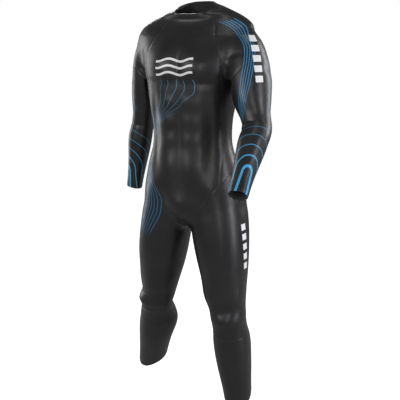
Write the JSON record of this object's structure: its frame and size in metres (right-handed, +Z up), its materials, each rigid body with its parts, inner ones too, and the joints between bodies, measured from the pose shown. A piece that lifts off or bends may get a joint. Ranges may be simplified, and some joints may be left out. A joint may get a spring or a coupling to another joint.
{
  "type": "full wetsuit",
  "caption": "Full-length close-fitting neoprene wetsuit in stitched panels, with a back zip, low crew collar, long sleeves and slant-cut leg hems.",
  "frame": {"origin": "centre of the neck opening, in the plane of the collar's top rim", "axes": "+X to the wearer's left, the front faces -Y, +Z up the body"},
  "size_m": [0.6141, 0.4614, 1.3738],
  "materials": {
    "smooth_neoprene": "satin smooth-skin neoprene",
    "stretch_neoprene": "thin printed stretch neoprene",
    "hem_neoprene": "cut edge, satin",
    "lining_knit": "matt knitted nylon",
    "zip_tape": "woven tape",
    "zip_plastic": "moulded",
    "zip_metal": "dark coated metal"
  },
  "bodies": {
    "torso": {"chest_panel": "smooth_neoprene", "abdomen_panel": "smooth_neoprene", "crotch_gusset": "stretch_neoprene", "left_upper_back_panel": "smooth_neoprene", "right_upper_back_panel": "smooth_neoprene", "lower_back_panel": "smooth_neoprene", "seat_panel": "smooth_neoprene", "left_side_panel": "smooth_neoprene", "left_shoulder_panel": "stretch_neoprene", "right_side_panel": "smooth_neoprene", "right_shoulder_panel": "stretch_neoprene", "collar_band": "smooth_neoprene", "collar_binding": "hem_neoprene", "collar_loop_patch": "lining_knit", "zip_tape_left": "zip_tape", "zip_teeth_left": "zip_plastic", "zip_top_stop_left": "zip_plastic", "zip_tape_right": "zip_tape", "zip_teeth_right": "zip_plastic", "zip_top_stop_right": "zip_plastic", "zip_bottom_stop": "zip_plastic", "zip_backing_flap": "lining_knit", "left_shoulder_flex_panel": "stretch_neoprene", "left_underarm_gusset": "stretch_neoprene", "left_hip_flex_panel": "stretch_neoprene", "right_shoulder_flex_panel": "stretch_neoprene", "right_underarm_gusset": "stretch_neoprene", "right_hip_flex_panel": "stretch_neoprene"},
    "collar_tab": {"collar_hook_patch": "lining_knit", "collar_closure_tab": "smooth_neoprene"},
    "zip_slider": {"zip_slider": "zip_metal"},
    "zip_pull": {"zip_pull_tab": "zip_plastic"},
    "left_upper_arm": {"left_upper_sleeve_outer_panel": "smooth_neoprene", "left_upper_sleeve_inner_panel": "stretch_neoprene", "left_elbow_flex_panel": "stretch_neoprene"},
    "left_forearm": {"left_forearm_outer_panel": "smooth_neoprene", "left_forearm_inner_panel": "stretch_neoprene", "left_wrist_cuff": "hem_neoprene"},
    "left_thigh": {"left_thigh_front_panel": "smooth_neoprene", "left_thigh_back_panel": "smooth_neoprene", "left_knee_flex_panel": "stretch_neoprene"},
    "left_shin": {"left_shin_panel": "smooth_neoprene", "left_calf_panel": "smooth_neoprene", "left_leg_hem": "hem_neoprene"},
    "right_upper_arm": {"right_upper_sleeve_outer_panel": "smooth_neoprene", "right_upper_sleeve_inner_panel": "stretch_neoprene", "right_elbow_flex_panel": "stretch_neoprene"},
    "right_forearm": {"right_forearm_outer_panel": "smooth_neoprene", "right_forearm_inner_panel": "stretch_neoprene", "right_wrist_cuff": "hem_neoprene"},
    "right_thigh": {"right_thigh_front_panel": "smooth_neoprene", "right_thigh_back_panel": "smooth_neoprene", "right_knee_flex_panel": "stretch_neoprene"},
    "right_shin": {"right_shin_panel": "smooth_neoprene", "right_calf_panel": "smooth_neoprene", "right_leg_hem": "hem_neoprene"}
  },
  "joints": [
    {"name": "left_shoulder_swing", "type": "hinge", "parent": "torso", "child": "left_upper_arm", "pos_m": [0.178, -0.01, -0.148], "axis": [-1, 0, 0], "range_deg": [-15, 35], "stiffness_Nm_per_rad": 1.5, "deforming": ["left_shoulder_flex_panel", "left_underarm_gusset"]},
    {"name": "left_elbow_bend", "type": "hinge", "parent": "left_upper_arm", "child": "left_forearm", "pos_m": [0.2454, -0.1212, -0.3668], "axis": [-1, 0, 0], "range_deg": [-15, 70], "stiffness_Nm_per_rad": 1.5, "deforming": ["left_elbow_flex_panel"]},
    {"name": "left_hip_swing", "type": "hinge", "parent": "torso", "child": "left_thigh", "pos_m": [0.088, -0.018, -0.64], "axis": [-1, 0, 0], "range_deg": [-12, 30], "stiffness_Nm_per_rad": 3, "deforming": ["left_hip_flex_panel"]},
    {"name": "left_knee_bend", "type": "hinge", "parent": "left_thigh", "child": "left_shin", "pos_m": [0.1234, -0.0142, -1.0233], "axis": [0.9848, 0.1736, 0], "range_deg": [-5, 70], "stiffness_Nm_per_rad": 2, "deforming": ["left_knee_flex_panel"]},
    {"name": "right_shoulder_swing", "type": "hinge", "parent": "torso", "child": "right_upper_arm", "pos_m": [-0.178, -0.01, -0.148], "axis": [-1, 0, 0], "range_deg": [-15, 35], "stiffness_Nm_per_rad": 1.5, "deforming": ["right_shoulder_flex_panel", "right_underarm_gusset"]},
    {"name": "right_elbow_bend", "type": "hinge", "parent": "right_upper_arm", "child": "right_forearm", "pos_m": [-0.2474, 0.036, -0.385], "axis": [-1, 0, 0], "range_deg": [-5, 80], "stiffness_Nm_per_rad": 1.5, "deforming": ["right_elbow_flex_panel"]},
    {"name": "right_hip_swing", "type": "hinge", "parent": "torso", "child": "right_thigh", "pos_m": [-0.088, -0.018, -0.64], "axis": [-1, 0, 0], "range_deg": [-12, 30], "stiffness_Nm_per_rad": 3, "deforming": ["right_hip_flex_panel"]},
    {"name": "right_knee_bend", "type": "hinge", "parent": "right_thigh", "child": "right_shin", "pos_m": [-0.1588, 0.0293, -1.0155], "axis": [0.6691, -0.7431, 0], "range_deg": [-5, 70], "stiffness_Nm_per_rad": 2, "deforming": ["right_knee_flex_panel"]},
    {"name": "zip_slide", "type": "slide", "parent": "torso", "child": "zip_slider", "axis": [0, -0.073, -0.9973], "range_m": [0, 0.325]},
    {"name": "zip_pull_swing", "type": "hinge", "parent": "zip_slider", "child": "zip_pull", "pos_m": [0, 0.09322, -0.04944], "axis": [1, 0, 0], "range_deg": [-5, 150]},
    {"name": "collar_tab_peel", "type": "hinge", "parent": "torso", "child": "collar_tab", "pos_m": [-0.034, 0.05937, 0.00781], "axis": [0, -0.3746, 0.9272], "range_deg": [0, 100]}
  ]
}
